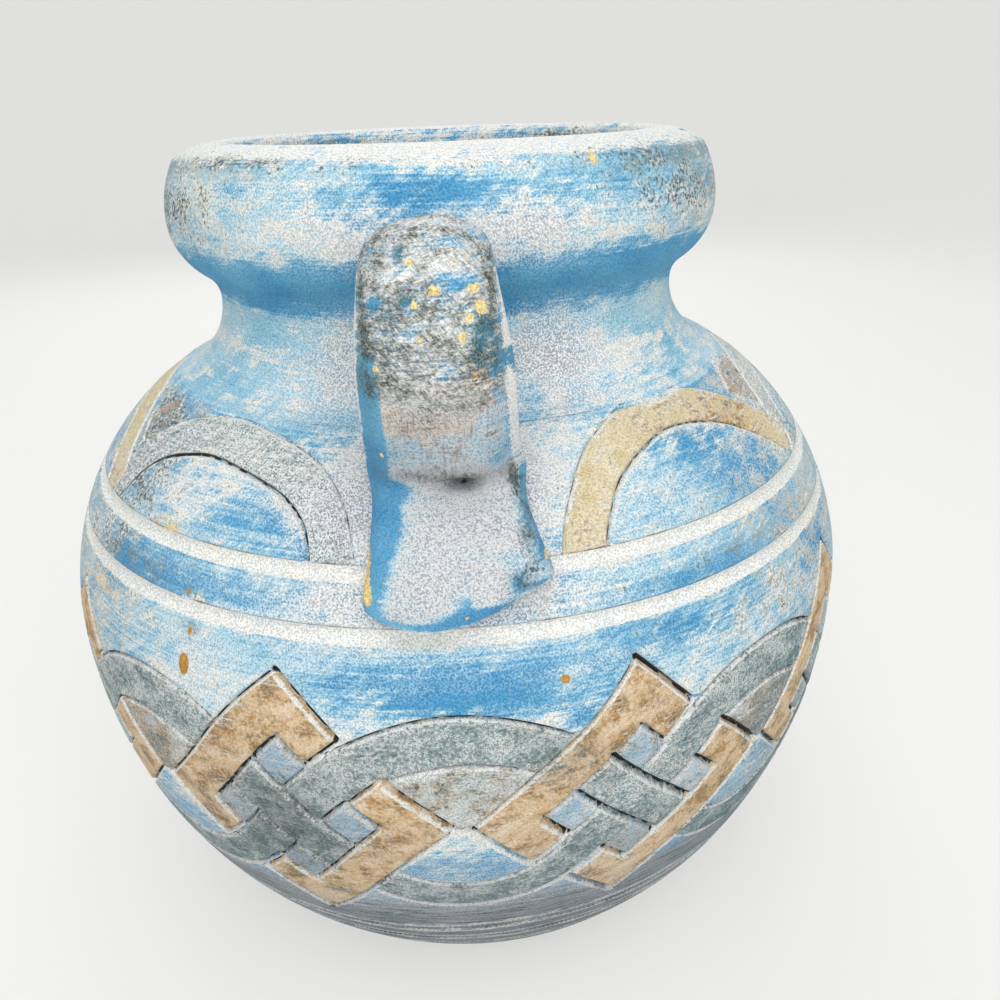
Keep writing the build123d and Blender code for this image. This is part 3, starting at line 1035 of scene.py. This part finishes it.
# mm across, place along the strap, spread of both, change of load
handlePatches = {
    "chip": [
        (-3.5, 0.285, 0.8, 0.007, 0.75), (0.5, 0.329, 1.0, 0.007, 0.8), (-2.8, 0.347, 0.9, 0.008, 0.75),
        (-2, 0.394, 0.7, 0.009, 0.7), (4.5, 0.391, 0.8, 0.008, 0.75), (5.8, 0.364, 0.9, 0.008, 0.75),
        (7.8, 0.347, 1.1, 0.012, 0.9), (7.2, 0.317, 0.7, 0.008, 0.7), (6, 0.323, 0.7, 0.006, 0.7),
        (6, 0.273, 0.7, 0.007, 0.6), (3.5, 0.285, 0.7, 0.006, 0.6), (-9.8, 0.426, 0.7, 0.012, 0.65),
        (-10.5, 0.565, 0.7, 0.012, 0.6), (-15.5, 0.9, 1.2, 0.045, 0.9), (-15, 0.82, 0.7, 0.04, 0.6),
        (18.6, 0.84, 1.2, 0.02, 0.9), (3.5, 0.965, 1.2, 0.008, 0.8), (2, 0.33, 10, 0.1, 0.1),
    ],
    "teal": [
        (-4.5, 0.272, 1.0, 0.022, 0.3), (-3.5, 0.335, 1.6, 0.01, 0.25), (-6.2, 0.326, 1.5, 0.012, 0.2),
        (7.8, 0.37, 2, 0.03, 0.2), (6.2, 0.405, 2, 0.02, 0.25), (2.5, 0.41, 4, 0.012, 0.3),
        (-0.5, 0.37, 3, 0.03, 0.1), (-7, 0.24, 4, 0.03, 0.12),
    ],
    "rust": [
        (2, 0.475, 8, 0.02, 0.42), (-5, 0.5, 6, 0.025, 0.38), (-10, 0.44, 2, 0.02, 0.4),
        (-2, 0.4, 8, 0.03, 0.24), (7, 0.44, 3, 0.025, 0.36),
    ],
    "soot": [
        (13.5, 0.68, 2.2, 0.07, 0.3), (15.5, 0.85, 3, 0.05, 0.34), (11, 0.9, 4, 0.04, 0.2),
        # painted shade in the thumb dent
        (3.2, 0.66, 3, 0.01, 0.2),
    ],
    "hatch": [
        (-8, 0.235, 4, 0.03, 0.1), (-7, 0.41, 3, 0.05, 0.1), (3, 0.36, 3, 0.03, 0.06),
        (8, 0.25, 3, 0.04, 0.08), (-6, 0.305, 2.5, 0.025, -0.14), (2, 0.3, 2.5, 0.02, -0.14),
        (2.5, 0.378, 2.2, 0.012, -0.14), (13, 0.7, 2.8, 0.09, 0.5), (15.5, 0.8, 2.4, 0.06, 0.42),
        # the first of these is painted shade on the face above the thumb dent
        (2, 0.652, 5, 0.014, 0.34), (11.8, 0.873, 3, 0.03, 0.34), (14.8, 0.905, 3, 0.03, 0.44),
    ],
    # where the rubbed paint stops and the blue below shows
    "bluer": [
        (-13, 0.7, 3.2, 0.2, 0.9), (-9, 0.68, 3.2, 0.035, 0.9), (-11, 0.76, 3, 0.05, 0.9),
        (-16, 0.9, 3.4, 0.12, 0.9), (10, 0.6, 3, 0.06, 0.5), (15, 0.74, 2.2, 0.06, 0.8),
        (18, 0.82, 2.0, 0.06, 0.7), (2.3, 0.92, 1.6, 0.035, 0.8), (4, 0.955, 6.5, 0.022, 0.9),
        (12.5, 0.89, 1.6, 0.04, 0.7), (16, 0.92, 3, 0.02, 0.6), (-2, 0.985, 20, 0.02, 0.9),
        (8.4, 0.367, 1.4, 0.014, 0.7), (7, 0.4, 1.2, 0.02, 0.4), (-4.5, 0.335, 2.2, 0.008, 0.5),
        (-5.2, 0.272, 0.8, 0.02, 0.5), (7.5, 0.42, 2, 0.012, 0.4), (14, 0.405, 3, 0.02, 0.9),
    ],
    # the cut patch is painted shade in the thumb dent; the first sand patch is painted shade round it
    "cut": [(3.4, 0.672, 1.1, 0.006, 0.95)],
    "sand": [(3.2, 0.668, 3.4, 0.02, 0.4), (2, 0.71, 9, 0.05, 0.08)],
}


def along(values, t):
    # smooth run through evenly placed values
    v = np.asarray(values, float).reshape(len(values), -1)
    v = np.concatenate([2 * v[:1] - v[1:2], v, 2 * v[-1:] - v[-2:-1]])
    place = np.clip(t * (len(values) - 1), 0, len(values) - 1 - 1e-9)
    first = place.astype(int)
    return smoothRun(*(v[first + k] for k in range(4)), (place - first)[:, None])


def pulledHandle(name, turned, replaced):
    steps, around = strap["steps"], strap["around"]
    t = np.linspace(0, 1, steps)
    faceLine, backLine = along(strap["outer"], t), along(strap["inner"], t)
    middle, half = (faceLine + backLine) / 2, (faceLine - backLine) / 2
    turn = np.linspace(0, 2 * math.pi, around, endpoint=False)
    more, fade = strap["squarer"]
    power = 2 / (2 + more * smooth(*fade, t))[:, None]
    side = np.sign(np.cos(turn)) * abs(np.cos(turn)) ** power
    front = np.sign(np.sin(turn)) * abs(np.sin(turn)) ** power
    across = side * np.where(side > 0, along(strap["right"], t), along(strap["left"], t))
    place = np.repeat(t[:, None], around, 1)
    # behind its face the strap spreads towards the jar
    spread = stretch(place, *strap["flarePlaces"]) * smooth(*strap["flareBehind"], front)
    across = across + side * spread * np.where(side > 0, strap["backFlare"][1], strap["backFlare"][0])
    press = np.zeros(across.shape)
    for x, at, wide, long, deep in (strap["dent"], strap["thumb"]):
        press += deep * bump(across, x, wide) * bump(place, at, long) * (front > 0)
    spot = middle[:, None] + front[..., None] * half[:, None] - press[..., None] * oneLong(half)[:, None]
    ahead = oneLong(np.gradient(middle, axis=0))
    bow, skew = strap["tipCurve"]
    start, length, curve = strap["tipPlace"]
    shorter = np.clip((place - start) / length, 0, 1) ** curve * (bow * side**2 + skew * side)
    spot = spot - shorter[..., None] * ahead[:, None]
    points = np.stack([across, -spot[..., 0], spot[..., 1]], -1).reshape(-1, 3)
    if turned:
        points *= [-1, -1, 1]
    faces = ringFaces(steps, around, False)
    faces.append(tuple(range(around))[::-1])
    faces.append(tuple((steps - 1) * around + j for j in range(around)))
    loads = handleLoads(place.ravel(), across.ravel(), side.ravel(), front.ravel())
    makePiece(name, points, faces, loads, replaced)


def handleLoads(t, x, side, front):
    loads = patched(handlePatches, lambda middle, wide: bump(x, middle, wide), t)
    face = smooth(-0.1, 0.3, front)
    flank = smooth(0.2, -0.05, front) * stretch(t, (0.2, 0.28), (0.7, 0.62)) * smooth(0, 0.4, abs(side))
    leftSide = smooth(-0.74, -0.84, side) * smooth(0.36, 0.46, t) * (front > -0.1)
    clear = 1 - np.maximum(np.clip(loads.pop("bluer"), 0, 1), leftSide)
    upper = stretch(t, (0.05, 0.12), (0.52, 0.42))
    lower = stretch(t, (0.42, 0.5), (0.7, 0.62))
    tab = smooth(0.57, 0.65, t)
    upperEdge = upper * bump(abs(side), 0.93, 0.05) * (front > 0)
    loads["blue"] += 1.0
    loads["tan"] += 0.78 * bump(t, 0.49, 0.06) * face * clear * smooth(10, 4, x)
    loads["white"] += ((0.6 * upper + 0.36 * lower + 0.55 * tab) * face + 0.8 * flank) * clear
    loads["mist"] += (0.22 * upper + 0.5 * lower + 0.7 * tab) * face * clear + 0.2 * flank
    loads["pale"] += (0.5 * upper + 0.6 * lower + 0.9 * tab) * face * clear
    loads["hatch"] += (0.46 * upper + 0.27 * lower) * face + 0.1 * upperEdge
    loads["rust"] += 0.38 * stretch(t, (0.3, 0.46), (0.66, 0.56)) * face * clear
    loads["fleck"] += 0.3 * upper
    loads["comb"] += (0.28 * lower + 0.2 * bump(t, 0.64, 0.025)) * face * clear
    loads["teal"] += 0.14 + 0.34 * upper + 0.14 * upperEdge
    loads["sand"] += 0.16 + 0.1 * tab * face + 0.12 * lower * face
    loads["soot"] += 0.16 + 0.12 * upperEdge
    loads["chip"] += 0.05 * face
    return loads


for side, turned in (("front", False), ("rear", True)):
    replaced = [f"{side}_handle", f"{side}_handle_top_slip", f"{side}_handle_foot_slip"]
    pulledHandle(f"{side}_pulled_handle", turned, replaced)


def neckSlip():
    # the seam of slip between bowl and collar, wiped flush
    low, high = wallAt(wallHigh)[0], collarProfile()[0][0]
    outside = [(low, seamLow), ((low + high) / 2, (seamLow + seamHigh) / 2), (high, seamHigh)]
    profile = np.array(outside + [(jar["mouthRadius"], seamHigh), (jar["mouthRadius"], seamLow)])
    throat = jar["mouthRadius"] + collar["slipInside"]
    turnedRing("neck_slip_seam", profile, throat, ["neck_slip"])


neckSlip()

# Studio, in metres: a round paper sweep, a soft box in front, a weaker one behind, and soft light all round
studio = {
    "paper": "#ECECEA",
    "roughness": 0.9,
    "backdrop": "#F1F1EF",
    "glow": 0.6,
    "flat": 1.3,
    "bend": 0.7,
    "bendSteps": 13,
    "wall": 1.5,
    "columns": 64,
    "world": 0.66,
    "lamps": [("front_soft_box", (0.05, -0.62, 0.72), 6.9), ("rear_soft_box", (-0.1, 0.8, 0.7), 4.2)],
    "lampSize": 1.0,
    "aim": (0, 0, 0.1),
}


def studioSet():
    # Uncoated matt paper: no gloss, only soft shadow. The camera sees it paler than it lights the jar.
    paper = bpy.data.materials.new("paper_sweep_matt")
    paper.use_nodes = True
    tree = paper.node_tree
    shader = tree.nodes["Principled BSDF"]
    shader.inputs["Base Color"].default_value = toLinear(studio["paper"])
    shader.inputs["Roughness"].default_value = studio["roughness"]
    seen = addNode(tree, "LightPath", out="Is Camera Ray")
    share = addNode(tree, "Math", {0: seen, 1: studio["glow"]}, operation="MULTIPLY")
    glow = addNode(tree, "Emission", {"Color": toLinear(studio["backdrop"])})
    mixed = addNode(tree, "MixShader", {0: share, 1: shader.outputs[0], 2: glow})
    tree.links.new(mixed, tree.nodes["Material Output"].inputs["Surface"])
    flat, bend, columns = studio["flat"], studio["bend"], studio["columns"]
    turn = np.radians(np.linspace(0, 90, studio["bendSteps"]))
    profile = [(flat + bend * math.sin(t), bend * (1 - math.cos(t))) for t in turn]
    profile.append((flat + bend, bend + studio["wall"]))
    ring = np.radians(np.linspace(0, 360, columns, endpoint=False))
    points = [(0, 0, 0)] + [(r * math.cos(a), r * math.sin(a), z) for r, z in profile for a in ring]
    faces = [(0, 1 + j, 1 + (j + 1) % columns) for j in range(columns)]
    for face in ringFaces(len(profile), columns, False):
        faces.append(tuple(1 + face[corner] for corner in (0, 3, 2, 1)))
    floor = addMesh("floor", points, faces, paper)
    world = bpy.data.worlds.new("soft_studio")
    world.use_nodes = True
    sky = world.node_tree.nodes["Background"].inputs
    sky["Color"].default_value = (1, 1, 1, 1)
    sky["Strength"].default_value = studio["world"]
    bpy.context.scene.world = world
    for name, spot, power in studio["lamps"]:
        light = bpy.data.lights.new(name, "AREA")
        light.energy, light.size = power, studio["lampSize"]
        lamp = addObject(name, light)
        lamp.location = spot
        lamp.rotation_euler = (Vector(spot) - Vector(studio["aim"])).to_track_quat("Z", "Y").to_euler()
    print("studio lit")


studioSet()

# Camera: as close as the jar was photographed, a little above the rim
shot = {
    "azimuth": 1.63,
    "away": 239.9,
    "height": 208.11,
    "pitch": 24.416,
    "yaw": 2.779,
    "roll": -2.035,
    "lens": 32.01,
    "sensor": 36.0,
    "near": 10.0,
}


def placeCamera():
    down, yaw, roll = (math.radians(shot[angle]) for angle in ("pitch", "yaw", "roll"))
    level = math.cos(down)
    ahead = Vector((math.sin(yaw) * level, math.cos(yaw) * level, -math.sin(down)))
    right = Vector((math.cos(yaw), -math.sin(yaw), 0))
    up = right.cross(ahead)
    side = math.cos(roll) * right + math.sin(roll) * up
    top = -math.sin(roll) * right + math.cos(roll) * up
    turn = Matrix.Rotation(math.radians(shot["azimuth"]), 3, "Z")
    basis = turn @ Matrix((side, top, -ahead)).transposed()
    data = bpy.data.cameras.new("camera")
    data.lens, data.sensor_width = shot["lens"], shot["sensor"]
    data.clip_start = shot["near"] * mm
    camera = addObject("camera", data)
    spot = turn @ Vector((0, -shot["away"], shot["height"]))
    camera.matrix_world = Matrix.Translation(spot * mm) @ basis.to_4x4()
    bpy.context.scene.camera = camera
    print("camera set")


placeCamera()
bpy.context.scene.view_settings.view_transform = "Standard"
